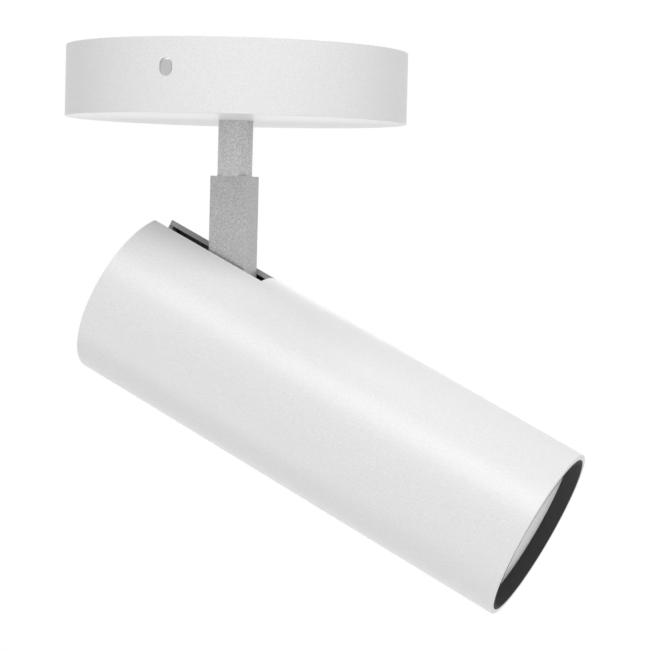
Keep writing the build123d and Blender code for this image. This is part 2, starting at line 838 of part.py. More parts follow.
def head_tube():
    # Both cylinders are turned so that their seams are at the side, away from the slot and the screws.
    back, front = -tube_behind_pivot, tube_ahead_of_pivot
    turn = Rot(90, 0, 0)
    tube = turn * post_along_x(tube_diameter, back, front)
    tube = chamfer(tube.edges().filter_by(GeomType.CIRCLE), tube_edge)
    tube -= turn * post_along_x(2 * tube_inner_radius, back, front)
    half = slot_width / 2
    tube -= block(back - past, slot_ahead_of_pivot, -half, half, tube_inner_radius / 2, tube_radius + past)
    for x in chassis_screw_places():
        tube -= Pos(x, 0, -tube_radius) * Rot(180, 0, 0) * countersink(chassis_screw_length)
    return tube


def chassis_screw_places():
    middle = heat_sink_back + heat_sink_length / 2
    return [middle - chassis_screw_spacing / 2, middle + chassis_screw_spacing / 2]


def rear_cap():
    back = -tube_behind_pivot
    cap = post_along_x(2 * insert_radius, back, back + cap_thickness)
    half = slot_width / 2
    bottom = -tongue_width / 2 - cap_slot_margin
    slot = block(back - past, back + cap_thickness + past, -half, half, bottom, tube_radius)
    slot = fillet(slot.edges().filter_by(Axis.X).group_by(Axis.Z)[0], cap_slot_corner_radius)
    cap -= slot
    for y in (pillar_side, -pillar_side):
        cap -= Pos(back, y, -pillar_drop) * Rot(0, -90, 0) * countersink(cap_screw_length)
    return cap


def cap_screws():
    screws = []
    for y in (pillar_side, -pillar_side):
        place = Pos(-tube_behind_pivot, y, -pillar_drop) * Rot(0, -90, 0)
        screws.append(place * countersunk_screw(cap_screw_length))
    return Compound(children=screws)


def cap_pillars():
    back = -tube_behind_pivot + cap_thickness
    stud_end = yoke_base_ahead + pillar_stud_length
    tap = screw_diameter + 2 * assembly_clearance
    pillars = []
    for y in (pillar_side, -pillar_side):
        pillar = post_along_x(pillar_diameter, back, yoke_base_ahead, y, -pillar_drop)
        pillar += post_along_x(screw_diameter, yoke_base_ahead, stud_end, y, -pillar_drop)
        pillar -= post_along_x(tap, back, back + pillar_tap_depth, y, -pillar_drop)
        pillars.append(pillar)
    return Compound(children=pillars)


def yoke_screw_places():
    g = yoke_screw_grid
    return [(g, g), (g, -g), (-g, g), (-g, -g)]


def pivot_yoke():
    back, front = yoke_base_ahead, yoke_base_ahead + yoke_base_thickness
    yoke = post_along_x(2 * (insert_radius - yoke_wall_gap), back, front)
    for side in (1, -1):
        low, high = sorted((side * arm_inner, side * arm_outer))
        arm = block(0, back, low, high, -arm_height / 2, arm_height / 2)
        arm += post_along_y(arm_height, low, high)
        yoke += arm
    yoke -= post_along_y(pivot_bolt_diameter + 2 * assembly_clearance, -arm_outer, arm_outer)
    for y, z in yoke_screw_places():
        yoke -= post_along_x(screw_diameter + 2 * screw_clearance, back, front, y, z)
    for y in (pillar_side, -pillar_side):
        yoke -= post_along_x(screw_diameter + 2 * screw_clearance, back, front, y, -pillar_drop)
    hole = bulkhead_neck_diameter() + 2 * assembly_clearance
    return yoke - post_along_x(hole, back, front, 0, -lead_hole_drop)


def yoke_screws():
    screws = []
    for y, z in yoke_screw_places():
        place = Pos(yoke_base_ahead, y, z) * Rot(0, -90, 0)
        screws.append(place * pan_screw(0, 0, 0, yoke_screw_length))
    return Compound(children=screws)


def bulkhead_neck_diameter():
    return sheath_diameter + 2 * bulkhead_grommet_wall


def bulkhead_grommet():
    back, front = yoke_base_ahead, yoke_base_ahead + yoke_base_thickness
    z = -lead_hole_drop
    out = bulkhead_flange_thickness
    flange = lead_hole_diameter - 2 * assembly_clearance
    grommet = post_along_x(bulkhead_neck_diameter(), back, front, 0, z)
    grommet += post_along_x(flange, back - out, back, 0, z) + post_along_x(flange, front, front + out, 0, z)
    return grommet - post_along_x(sheath_diameter + 2 * assembly_clearance, back - out, front + out, 0, z)


def pivot_bolt():
    head_out = arm_outer + pivot_bolt_head_height
    nut_out = arm_outer + spring_washer_thickness + pivot_nut_height + pivot_bolt_past_nut
    head = post_along_y(pivot_bolt_head_diameter, arm_outer, head_out)
    head = fillet(head.edges().filter_by(GeomType.CIRCLE).sort_by(Axis.Y)[-1], pivot_bolt_head_rounding)
    shank = post_along_y(pivot_bolt_diameter, -nut_out, arm_outer)
    shank = chamfer(shank.edges().filter_by(GeomType.CIRCLE).sort_by(Axis.Y)[0], screw_end_chamfer)
    socket = Pos(0, head_out, 0) * Rot(90, 0, 0) * hexagon(pivot_bolt_socket, 0, pivot_bolt_socket_depth)
    return head + shank - socket


def pivot_lock_nut():
    low = arm_outer + spring_washer_thickness
    bore = pivot_bolt_diameter + 2 * assembly_clearance
    nut = hex_nut(pivot_nut_across_flats, bore, low, low + pivot_nut_height)
    return Rot(90, 0, 0) * nut


def pivot_friction_washers():
    bore = pivot_bolt_diameter + 2 * assembly_clearance
    rings = []
    for side in (1, -1):
        low, high = sorted((side * arm_inner, side * (arm_inner - friction_washer_thickness)))
        rings.append(post_along_y(friction_washer_diameter, low, high) - post_along_y(bore, low, high))
    return Compound(children=rings)


def pivot_spring_washer():
    bore = pivot_bolt_diameter + 2 * assembly_clearance
    high = -arm_outer
    low = high - spring_washer_thickness
    return post_along_y(spring_washer_diameter, low, high) - post_along_y(bore, low, high)


def heat_sink():
    back, front = heat_sink_back, heat_sink_front
    core_radius = insert_radius - heat_sink_fin_depth
    sink = post_along_x(2 * core_radius, back, front)
    fin_tips = post_along_x(2 * insert_radius, back, front)
    half = heat_sink_fin_thickness / 2
    fin_root = core_radius - heat_sink_fin_thickness
    fins = [
        Rot(360 / heat_sink_fin_count * i, 0, 0) * block(back, front, -half, half, fin_root, tube_radius)
        for i in range(heat_sink_fin_count)
    ]
    rib = heat_sink_rib_width / 2
    fins.append(block(back, front, -rib, rib, -tube_radius, -fin_root))
    sink += [fin & fin_tips for fin in fins]
    tap = screw_diameter + 2 * assembly_clearance
    for y, z in yoke_screw_places():
        sink -= post_along_x(tap, back, back + yoke_screw_length, y, z)
    for y in (pillar_side, -pillar_side):
        sink -= post_along_x(tap, back, back + pillar_stud_length, y, -pillar_drop)
        side = math.copysign(holder_screw_side, y)
        sink -= post_along_x(tap, front - holder_screw_length, front, side, 0)
    sink -= post_along_x(lead_hole_diameter, back, front, 0, -lead_hole_drop)
    for x in chassis_screw_places():
        sink -= post(tap, -tube_radius, -tube_radius + chassis_screw_length + chassis_tap_past_screw, x, 0)
    return sink


def chassis_screws():
    screws = []
    for x in chassis_screw_places():
        screws.append(Pos(x, 0, -tube_radius) * Rot(180, 0, 0) * countersunk_screw(chassis_screw_length))
    return Compound(children=screws)


def thermal_pad():
    half = thermal_pad_side / 2
    return block(heat_sink_front, board_back, -half, half, thermal_pad_cut - half, half)


def led_board():
    half = led_board_side / 2
    return block(board_back, emitter_back, -half, half, led_board_cut - half, half)


def led_emitter():
    return post_along_x(led_emitter_diameter, emitter_back, emitter_back + led_emitter_thickness)


def led_holder():
    back, front = heat_sink_front, holder_front
    ring = post_along_x(holder_diameter, back, front)
    ring = chamfer(ring.edges().filter_by(GeomType.CIRCLE).sort_by(Axis.X)[-1], holder_edge)
    half = thermal_pad_side / 2 + holder_board_gap
    pocket = emitter_back + assembly_clearance
    ring -= block(back, pocket, -half, half, -half, half)
    ring -= Pos((pocket + front) / 2, 0, 0) * Rot(0, 90, 0) * Cone(
        holder_window_diameter / 2, holder_window_flare / 2, front - pocket
    )
    notch = holder_notch_width / 2
    ring -= block(back, pocket + board_lead_diameter / 2, -notch, notch, -holder_notch_drop, 0)
    head = pan_head_diameter + 2 * screw_clearance
    for side in (holder_screw_side, -holder_screw_side):
        ring -= post_along_x(screw_diameter + 2 * screw_clearance, back, front, side, 0)
        ring -= post_along_x(head, holder_screw_seat, front, side, 0)
    return ring


def led_holder_screws():
    screws = []
    for side in (holder_screw_side, -holder_screw_side):
        place = Pos(holder_screw_seat, side, 0) * Rot(0, 90, 0)
        length = holder_screw_seat - heat_sink_front + holder_screw_length - assembly_clearance
        screws.append(place * pan_screw(0, 0, 0, length))
    return Compound(children=screws)


def head_lead():
    return post_along_x(sheath_diameter, head_lead_start, head_lead_end, 0, -lead_hole_drop)


def led_leads():
    z = -lead_hole_drop
    end_z = led_board_cut - led_board_side / 2
    end_x = board_back + led_board_thickness / 2
    leads = []
    for i, side in enumerate((board_lead_spacing / 2, -board_lead_spacing / 2)):
        points = [(head_lead_end, side, z), (end_x, side, z), (end_x, side, end_z)]
        leads.append(lead(f"led_lead {i + 1}", points, board_lead_diameter))
    return Compound(children=leads)


def reflector():
    back, front = holder_front, gasket_back
    neck, mouth = reflector_neck / 2, reflector_mouth / 2
    middle_x = (back + front) / 2
    middle_r = math.sqrt((neck**2 + mouth**2) / 2)
    w = reflector_wall
    inner = ThreePointArc((back, neck), (middle_x, middle_r), (front, mouth))
    outer = ThreePointArc((back, neck + w), (middle_x, middle_r + w), (front, mouth + w))
    ends = [Line((back, neck), (back, neck + w)), Line((front, mouth), (front, mouth + w))]
    bowl = revolve(make_face(Curve() + [inner, outer] + ends), Axis.X)
    flange = post_along_x(2 * insert_radius, front - reflector_flange_thickness, front)
    opening = post_along_x(reflector_mouth + w, front - reflector_flange_thickness, front)
    return bowl + (flange - opening)


def lens_gasket():
    ring = post_along_x(2 * insert_radius, gasket_back, lens_back)
    return ring - post_along_x(2 * (insert_radius - gasket_width), gasket_back, lens_back)


def lens():
    disc = post_along_x(2 * insert_radius, lens_back, lens_front)
    return chamfer(disc.edges().filter_by(GeomType.CIRCLE), lens_edge)


def front_ring():
    front = tube_ahead_of_pivot - front_ring_recess
    ring = post_along_x(2 * insert_radius, lens_front, front)
    return ring - post_along_x(2 * (insert_radius - front_ring_width), lens_front, front)


def tilt_lead():
    return lead("tilt_lead", tilt_lead_points(), sheath_diameter)


canopy_pieces = {
    "canopy_shell": canopy_shell(),
    "ceiling_bracket": ceiling_bracket(),
    "canopy_locking_screws": canopy_locking_screws(),
    "earth_screw": earth_screw(),
    "earth_ring_terminal": earth_ring_terminal(),
    "earth_lead": earth_lead(),
    "terminal_block": terminal_block(),
    "terminal_inserts": terminal_inserts(),
    "terminal_screws": terminal_screws(),
    "driver_case": driver_case(),
    "driver_base": driver_base(),
    "driver_circuit_board": driver_circuit_board(),
    "driver_transformer": driver_transformer(),
    "driver_capacitors": driver_capacitors(),
    "driver_nuts": stud_nuts(driver_stud_places(), floor_top + driver_ear_thickness),
    "driver_input_leads": driver_input_leads(),
    "driver_output_leads": driver_output_leads(),
    "swivel_hub": swivel_hub(),
    "hub_nuts": stud_nuts(stud_places(), hub_flange_top),
    "swivel_bush": swivel_bush(),
    "stop_pin": stop_pin(),
}

stem_pieces = {
    "stem_rod": stem_rod(),
    "stem_retaining_ring": stem_retaining_ring(),
    "thrust_washer": thrust_washer(),
    "stop_washer": stop_washer(),
    "wave_washer": wave_washer(),
    "stem_nut": stem_nut(),
    "stem_grommet": stem_grommet(),
    "stem_tongue": stem_tongue(),
    "tongue_grub_screw": tongue_grub_screw(),
    "stem_lead": stem_lead(),
}

head_pieces = {
    "head_tube": head_tube(),
    "rear_cap": rear_cap(),
    "cap_screws": cap_screws(),
    "cap_pillars": cap_pillars(),
    "pivot_yoke": pivot_yoke(),
    "yoke_screws": yoke_screws(),
    "bulkhead_grommet": bulkhead_grommet(),
    "pivot_bolt": pivot_bolt(),
    "pivot_lock_nut": pivot_lock_nut(),
    "pivot_friction_washers": pivot_friction_washers(),
    "pivot_spring_washer": pivot_spring_washer(),
    "heat_sink": heat_sink(),
    "chassis_screws": chassis_screws(),
    "thermal_pad": thermal_pad(),
    "led_board": led_board(),
    "led_emitter": led_emitter(),
    "led_holder": led_holder(),
    "led_holder_screws": led_holder_screws(),
    "head_lead": head_lead(),
    "led_leads": led_leads(),
    "reflector": reflector(),
    "lens_gasket": lens_gasket(),
    "lens": lens(),
    "front_ring": front_ring(),
}

os.makedirs("parts", exist_ok=True)
pieces = {**canopy_pieces, **stem_pieces, "tilt_lead": tilt_lead()}
pieces.update({name: in_head * shape for name, shape in head_pieces.items()})
for name, shape in pieces.items():
    export_step(shape, f"parts/{name}.step")
print(len(pieces), "pieces")
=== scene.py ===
import math
import bmesh
import bpy
from mathutils import Euler, Matrix, Vector


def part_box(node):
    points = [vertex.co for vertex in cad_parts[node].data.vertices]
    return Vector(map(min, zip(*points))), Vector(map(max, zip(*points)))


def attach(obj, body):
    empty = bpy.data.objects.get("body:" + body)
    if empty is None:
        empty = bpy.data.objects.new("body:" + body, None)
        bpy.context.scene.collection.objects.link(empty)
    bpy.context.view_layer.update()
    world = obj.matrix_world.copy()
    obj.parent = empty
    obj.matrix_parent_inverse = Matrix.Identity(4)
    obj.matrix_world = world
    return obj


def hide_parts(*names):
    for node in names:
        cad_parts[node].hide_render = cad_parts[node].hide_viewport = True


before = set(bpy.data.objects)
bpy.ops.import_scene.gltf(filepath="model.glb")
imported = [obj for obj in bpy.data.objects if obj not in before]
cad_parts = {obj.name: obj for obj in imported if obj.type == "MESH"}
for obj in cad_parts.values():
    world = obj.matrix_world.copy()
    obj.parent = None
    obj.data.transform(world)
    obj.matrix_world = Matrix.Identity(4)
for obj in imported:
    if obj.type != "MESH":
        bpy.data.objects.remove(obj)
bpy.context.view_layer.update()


# Ceiling bracket: a strip of zinc-plated steel across the ceiling box, punched with two screw slots and a
# nipple hole. Its ends are bent down into tapped lugs that hold the canopy by its side screws.
class Wire:
    """A socket inside a material. Sums and products of wires add Math nodes."""

    def __init__(self, material, socket):
        self.material = material
        self.socket = socket

    def math(self, operation, a, b):
        return self.material.node("Math", {"operation": operation}, {0: a, 1: b})

    def __add__(self, other):
        return self.math("ADD", self, other)

    __radd__ = __add__

    def __mul__(self, other):
        return self.math("MULTIPLY", self, other)

    __rmul__ = __mul__

    def __sub__(self, other):
        return self.math("SUBTRACT", self, other)

    def __rsub__(self, other):
        return self.math("SUBTRACT", other, self)

    def __truediv__(self, other):
        return self.math("DIVIDE", self, other)

    def __pow__(self, other):
        return self.math("POWER", self, other)

    def __abs__(self):
        return self.math("ABSOLUTE", self, 0)

    def ripple(self):
        """Goes from 0 up to 0.5 and back between one whole number and the next."""
        return self.math("PINGPONG", self, 0.5)


class Finish:
    """A material and its surface shader."""

    def __init__(self, name):
        self.data = bpy.data.materials.new(name)
        self.data.use_nodes = True
        self.surface = self.data.node_tree.nodes["Principled BSDF"]
        self.place = self.node("TexCoord", {}, {}, "Object")

    def node(self, kind, settings, inputs, output=0):
        made = self.data.node_tree.nodes.new("ShaderNode" + kind)
        for name, value in settings.items():
            setattr(made, name, value)
        for socket, value in inputs.items():
            self.feed(made.inputs[socket], value)
        return Wire(self, made.outputs[output])

    def feed(self, socket, value):
        if isinstance(value, Wire):
            self.data.node_tree.links.new(value.socket, socket)
        else:
            socket.default_value = value

    def set(self, **values):
        for name, value in values.items():
            self.feed(self.surface.inputs[name.replace("_", " ")], value)

    def split(self, vector):
        parts = self.node("SeparateXYZ", {}, {"Vector": vector}).socket.node
        return [Wire(self, output) for output in parts.outputs]

    def noise(self, size, detail=2.0, stretch=(1, 1, 1)):
        place = self.place
        if stretch != (1, 1, 1):
            place = self.node("Mapping", {}, {"Vector": place, "Scale": stretch})
        return self.node("TexNoise", {}, {"Vector": place, "Scale": 1 / size, "Detail": detail})

    def above(self, value, edge, fade):
        """1 where the value is above the edge and 0 below it, with a fade of that width."""
        ends = {"Value": value, "From Min": edge - fade / 2, "From Max": edge + fade / 2}
        return self.node("MapRange", {"interpolation_type": "SMOOTHSTEP"}, ends)

    def below(self, value, edge, fade):
        return self.above(value, edge, -fade)

    def between(self, value, low, high, fade):
        return self.above(value, low, fade) - self.above(value, high, fade)

    def mix(self, share, a, b):
        a, b = (end if isinstance(end, Wire) else (*end, 1) for end in (a, b))
        return self.node("Mix", {"data_type": "RGBA"}, {0: share, 6: a, 7: b}, 2)

    def bump(self, height, depth):
        return self.node("Bump", {}, {"Strength": 1.0, "Distance": depth, "Height": height})


def dress(finish, *nodes):
    for name in nodes:
        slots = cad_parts[name].data.materials
        slots.clear()
        slots.append(finish.data)


dull_zinc = (0.30, 0.32, 0.35)
bright_zinc = (0.46, 0.46, 0.45)
zinc = Finish("zinc plate")
cloud = zinc.noise(size=0.006, detail=3)
brushed = zinc.noise(size=0.0006, stretch=(1, 0.1, 1))
zinc.set(
    Base_Color=zinc.mix(cloud, dull_zinc, bright_zinc),
    Metallic=1.0,
    Roughness=cloud * 0.18 + brushed * 0.12 + 0.30,
    Normal=zinc.bump(brushed, depth=0.00002),
)
dress(zinc, "ceiling_bracket")


# Canopy locking screws: two headless M4 screws of blackened steel with a hex socket. They are turned back
# into the bracket's lugs here, and turn outwards into the canopy's side holes to hold it up.
oxide_black = (0.016, 0.016, 0.018)


def black_oxide(name, worn, roughness):
    """Steel blackened in a hot bath, paler where it is worn."""
    steel = Finish(name)
    cloud = steel.noise(size=0.002, detail=4)
    steel.set(
        Base_Color=steel.mix(cloud, oxide_black, worn),
        Metallic=0.7,
        Roughness=cloud * 0.2 + roughness,
    )
    return steel


def reach(a, b):
    """How far a point lies from an axis, from its two distances across it."""
    return (a * a + b * b) ** 0.5


low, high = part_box("canopy_locking_screws")
screw_axis = (low.z + high.z) / 2
screw_crest_radius = 0.0019
screw_pitch = 0.0007
locking = black_oxide("black oxide with thread", worn=(0.050, 0.048, 0.046), roughness=0.3)
x, y, z = locking.split(locking.place)
height = z - screw_axis
groove = (y / screw_pitch + z.math("ARCTAN2", height, x) / (2 * math.pi)).ripple()
flank = locking.above(reach(x, height), screw_crest_radius, fade=0.0001)
locking.set(Normal=locking.bump(groove * flank, depth=screw_pitch))
dress(locking, "canopy_locking_screws")


# Earth point: a slotted hex screw in green lacquer clamps a tinned ring terminal to the bracket. The
# terminal is crimped on a green and yellow lead that goes to the middle way of the terminal block.
lacquer_green = (0.012, 0.17, 0.045)
bare_steel = (0.55, 0.55, 0.52)
worn_from = 0.60
lacquer = Finish("green lacquer")
wear = lacquer.noise(size=0.0009, detail=4)
bare = lacquer.above(wear, worn_from, fade=0.08)
lacquer.set(
    Base_Color=lacquer.mix(bare, lacquer_green, bare_steel),
    Metallic=bare,
    Roughness=wear * 0.2 + 0.25,
    Normal=lacquer.bump(wear, depth=0.00002),
)
dress(lacquer, "earth_screw")

dull_tin = (0.58, 0.57, 0.52)
bright_tin = (0.78, 0.76, 0.70)
tin = Finish("tin plate")
dull = tin.noise(size=0.0012, detail=4)
tin.set(
    Base_Color=tin.mix(dull, dull_tin, bright_tin),
    Metallic=1.0,
    Roughness=dull * 0.25 + 0.2,
    Normal=tin.bump(tin.noise(size=0.0004), depth=0.00002),
)
dress(tin, "earth_ring_terminal")

earth_green = (0.02, 0.22, 0.05)
earth_yellow = (0.75, 0.62, 0.03)
bands_per_metre = 36.0
striped = Finish("green and yellow insulation")
strand = striped.noise(size=0.0008)
banding = {"Vector": striped.place, "Scale": bands_per_metre}
band = striped.node("TexWave", {"bands_direction": "DIAGONAL"}, banding)
striped.set(
    Base_Color=striped.mix(striped.above(band, 0.5, fade=0.06), earth_green, earth_yellow),
    Roughness=strand * 0.15 + 0.35,
    Normal=striped.bump(strand, depth=0.00003),
)
dress(striped, "earth_lead")


# Terminal block: three ways in moulded white polyamide for the supply. Each way has a brass sleeve through
# the body with two steel screws over it, reached through holes in the top.
moulded_dark = (0.66, 0.66, 0.63)
moulded_light = (0.72, 0.72, 0.70)
moulded = Finish("moulded white plastic")
flow = moulded.noise(size=0.010, detail=3)
grain = moulded.noise(size=0.0004)
moulded.set(
    Base_Color=moulded.mix(flow, moulded_dark, moulded_light),
    Roughness=grain * 0.15 + 0.38,
    Normal=moulded.bump(grain, depth=0.00002),
)
dress(moulded, "terminal_block")

dull_brass = (0.52, 0.34, 0.11)
bright_brass = (0.80, 0.60, 0.26)
brass = Finish("bright brass")
tarnish = brass.noise(size=0.0015, detail=4)
brass.set(
    Base_Color=brass.mix(tarnish, dull_brass, bright_brass),
    Metallic=1.0,
    Roughness=tarnish * 0.25 + 0.15,
    Normal=brass.bump(brass.noise(size=0.0003, stretch=(1, 0.1, 1)), depth=0.00001),
)
dress(brass, "terminal_inserts")
dress(zinc, "terminal_screws")


# Driver: a spark-textured plastic case snapped over a flat base, whose two ears are screwed down on studs of
# the canopy. The case has a smooth sunk field on top and a fine dark seam where it meets the base.
case_dark = (0.54, 0.54, 0.525)
case_light = (0.61, 0.61, 0.595)
seam_shadow = (0.18, 0.18, 0.17)
low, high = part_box("driver_case")
seam_half_height = 0.000045
case_centre = 0.036
field_half_width = 0.0110
field_half_length = 0.0230
case_top = high.z - 0.00015
case = Finish("spark-textured plastic")
x, y, z = case.split(case.place)
flow = case.noise(size=0.014, detail=3)
spark = case.noise(size=0.00035, detail=3)
seam = case.between(z, low.z - seam_half_height, low.z + seam_half_height, fade=0.00005)
field = case.below(abs(x - case_centre), field_half_width, fade=0.0004)
field = field * case.below(abs(y), field_half_length, fade=0.0004) * case.above(z, case_top, fade=0.0001)
plastic = case.mix(flow, case_dark, case_light)
case.set(
    Base_Color=case.mix(seam, plastic, seam_shadow),
    Roughness=(1 - field) * 0.22 + spark * 0.1 + 0.30,
    Normal=case.bump(spark * (1 - field) - seam * 3 - field * 6, depth=0.00006),
)
dress(case, "driver_case", "driver_base")
dress(zinc, "driver_nuts")


# Circuit board: green glass-fibre laminate on four feet inside the driver, with wide copper fields showing
# through the solder mask.
mask_green = (0.010, 0.085, 0.022)
mask_over_copper = (0.020, 0.17, 0.045)
fields_per_metre = 260.0
half_gap = 0.10
board = Finish("green circuit board")
layout = {"Vector": board.place, "Scale": fields_per_metre}
edge = board.node("TexVoronoi", {"feature": "DISTANCE_TO_EDGE"}, layout)
copper = board.above(edge, half_gap, fade=0.04)
weave = board.noise(size=0.0006, stretch=(1, 0.2, 1))
board.set(
    Base_Color=board.mix(copper, mask_green, mask_over_copper),
    Roughness=weave * 0.1 + 0.3,
    Normal=board.bump(copper + weave * 0.2, depth=0.00004),
)
dress(board, "driver_circuit_board")


# Transformer: a grey ferrite core soldered to the board, with its winding between the legs under turns of
# yellow tape.
ferrite = (0.030, 0.029, 0.030)
tape_yellow = (0.62, 0.42, 0.03)
low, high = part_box("driver_transformer")
leg_width = 0.00395
turns_per_metre = 160.0
core = Finish("ferrite and yellow tape")
x, y, z = core.split(core.place)
tape = core.between(y, low.y + leg_width, high.y - leg_width, fade=0.0001)
grit = core.noise(size=0.0004, detail=3)
winding = {"Vector": core.place, "Scale": turns_per_metre}
turns = core.node("TexWave", {"bands_direction": "Y"}, winding)
core.set(
    Base_Color=core.mix(tape, ferrite, tape_yellow),
    Roughness=grit * 0.2 + 0.55 - tape * 0.25,
    Normal=core.bump(grit * (1 - tape) + turns * tape * 0.3, depth=0.00004),
)
dress(core, "driver_transformer")


# Capacitors: two electrolytic cans lying on the board in dark blue shrink sleeve, with a grey stripe for the
# negative side and a bare aluminium end.
sleeve_blue = (0.010, 0.012, 0.045)
stripe_grey = (0.42, 0.44, 0.47)
can_aluminium = (0.70, 0.70, 0.70)
low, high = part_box("driver_capacitors")
bare_end = high.y - 0.0002
stripe_edge = high.z - 0.00095
sleeve = Finish("capacitor sleeve")
x, y, z = sleeve.split(sleeve.place)
bare = sleeve.above(y, bare_end, fade=0.0001)
wrapped = sleeve.mix(sleeve.above(z, stripe_edge, fade=0.0001), sleeve_blue, stripe_grey)
shrink = sleeve.noise(size=0.0012)
sleeve.set(
    Base_Color=sleeve.mix(bare, wrapped, can_aluminium),
    Metallic=bare,
    Roughness=shrink * 0.1 + 0.22,
    Normal=sleeve.bump(shrink, depth=0.00003),
)
dress(sleeve, "driver_capacitors")


# Leads: stranded copper in coloured insulation. Black ones bring the supply from the terminal block to the
# driver; red ones leave it for the light source and go down the stem inside a round black sheath.
def insulation(name, colour, paler):
    plastic = Finish(name)
    strand = plastic.noise(size=0.0009)
    scuff = plastic.noise(size=0.004, detail=4)
    plastic.set(
        Base_Color=plastic.mix(scuff, colour, paler),
        Roughness=scuff * 0.2 + 0.36,
        Normal=plastic.bump(strand, depth=0.00004),
    )
    return plastic


black_insulation = insulation("black insulation", colour=(0.012, 0.012, 0.013), paler=(0.035, 0.035, 0.036))
red_insulation = insulation("red insulation", colour=(0.42, 0.012, 0.008), paler=(0.55, 0.03, 0.02))
black_sheath = insulation("black sheath", colour=(0.014, 0.014, 0.014), paler=(0.030, 0.030, 0.030))
dress(black_insulation, "driver_input_leads")
dress(red_insulation, "driver_output_leads", "led_leads")
dress(black_sheath, "stem_lead", "tilt_lead", "head_lead")


# Canopy: a turned aluminium cup, open at the top, with an oblong hole in each side for a hex key and five
# welded steel studs on its floor. It is powder-coated satin white, rougher inside and painted darker there
# as painted shade, and the studs stay bare.
powder_dark = (0.69, 0.69, 0.69)
powder_light = (0.91, 0.91, 0.91)


def white_powder(name):
    """The satin white coat: its finish, its colour, its orange peel and the height of both reliefs."""
    coat = Finish(name)
    peel = coat.noise(size=0.0016)
    grain = coat.noise(size=0.0005)
    colour = coat.mix(grain, powder_dark, powder_light)
    return coat, colour, peel, peel * 0.12 + grain * 0.03


coat_depth = 0.0001
# Darker colour inside the cup: painted shade.
painted_shade_inside = (0.66, 0.66, 0.65)
stud_steel = (0.58, 0.56, 0.53)
low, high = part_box("canopy_shell")
inner_wall_radius = high.x - 0.00135
canopy_floor = low.z + 0.0014
stud_reach = 0.05875
stud_foot = -0.02389
stud_pitch = 0.0005
canopy, powder, peel, relief = white_powder("white powder coat on canopy")
x, y, z = canopy.split(canopy.place)
radius = reach(x, y)
inside = canopy.below(radius, inner_wall_radius, fade=0.0001) * canopy.above(z, canopy_floor, fade=0.0001)
stud = canopy.below(radius, stud_reach, fade=0.0005) * canopy.above(z, stud_foot, fade=0.00006)
thread = stud * (z / stud_pitch).ripple()
canopy.set(
    Base_Color=canopy.mix(stud, canopy.mix(inside, powder, painted_shade_inside), stud_steel),
    Metallic=stud,
    Roughness=peel * 0.05 + inside * 0.25 + 0.30,
    Normal=canopy.bump(relief + thread * 4, depth=coat_depth),
)
dress(canopy, "canopy_shell")


# Swivel in the canopy floor: a turned steel hub on three studs guides the stem in a nylon bush. A dowel in
# the hub stops the tab of the stem's washer, so the leads can't be twisted off.
worn_oxide = (0.045, 0.043, 0.042)
oxide = black_oxide("black oxide", worn=worn_oxide, roughness=0.32)
oxide.set(Normal=oxide.bump(oxide.noise(size=0.0003), depth=0.00001))

nylon_dark = (0.62, 0.60, 0.54)
nylon_light = (0.74, 0.73, 0.68)
nylon = Finish("natural nylon")
milky = nylon.noise(size=0.003, detail=3)
nylon.set(
    Base_Color=nylon.mix(milky, nylon_dark, nylon_light),
    Roughness=milky * 0.15 + 0.35,
    Normal=nylon.bump(nylon.noise(size=0.0005), depth=0.00003),
)

lathe_dark = (0.32, 0.34, 0.37)
lathe_light = (0.50, 0.50, 0.49)
tool_feed = 0.0002
lathe = Finish("turned zinc-plated steel")
x, y, z = lathe.split(lathe.place)
tool_mark = (reach(x, y) / tool_feed + lathe.noise(size=0.0008) * 0.6).ripple()
cloud = lathe.noise(size=0.006, detail=3)
lathe.set(
    Base_Color=lathe.mix(cloud, lathe_dark, lathe_light),
    Metallic=1.0,
    Roughness=tool_mark * 0.15 + cloud * 0.1 + 0.22,
    Normal=lathe.bump(tool_mark, depth=0.00001),
)
dress(lathe, "swivel_hub", "stop_washer")
dress(zinc, "hub_nuts")
dress(nylon, "swivel_bush", "thrust_washer")
dress(oxide, "stop_pin")


# Stem: a half-inch aluminium rod, bored for the leads, in satin silver-grey lacquer. Above the bush it
# holds a keyed stop washer, a wave washer and a nut. A retaining ring under the canopy floor takes the
# upward pull.
flakes_per_metre = 4000.0


def silver_lacquer(name, dark, light):
    """Lacquer full of fine metal flakes, each of its own brightness."""
    coat = Finish(name)
    cells = coat.node("TexVoronoi", {}, {"Vector": coat.place, "Scale": flakes_per_metre}, "Color")
    flakes = coat.above(coat.node("RGBToBW", {}, {"Color": cells}), 0.5, fade=0.6)
    coat.set(
        Base_Color=coat.mix(flakes, dark, light),
        Metallic=0.8,
        Roughness=flakes * 0.08 + 0.41,
        Normal=coat.bump(coat.noise(size=0.0004), depth=0.00001),
    )
    return coat


def turned(name, profile, steps, body, finish, place=Matrix(), sharp=35):
    """A piece of revolution: (distance along Z, radius) pairs of a closed profile, spun round Z."""
    mesh = bmesh.new()
    corners = [mesh.verts.new((radius, 0, along)) for along, radius in profile]
    edges = [mesh.edges.new(pair) for pair in zip(corners, corners[1:] + corners[:1])]
    bmesh.ops.spin(mesh, geom=corners + edges, axis=(0, 0, 1), angle=2 * math.pi, steps=steps,
                   use_merge=True)
    bmesh.ops.remove_doubles(mesh, verts=mesh.verts, dist=1e-6)
    bmesh.ops.dissolve_degenerate(mesh, edges=mesh.edges, dist=1e-7)
    bmesh.ops.transform(mesh, matrix=place, verts=mesh.verts)
    bmesh.ops.recalc_face_normals(mesh, faces=mesh.faces)
    data = bpy.data.meshes.new(name)
    mesh.to_mesh(data)
    data.shade_smooth()
    data.set_sharp_from_angle(angle=math.radians(sharp))
    data.materials.append(finish.data)
    piece = bpy.data.objects.new(name, data)
    bpy.context.scene.collection.objects.link(piece)
    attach(piece, body)
    return piece
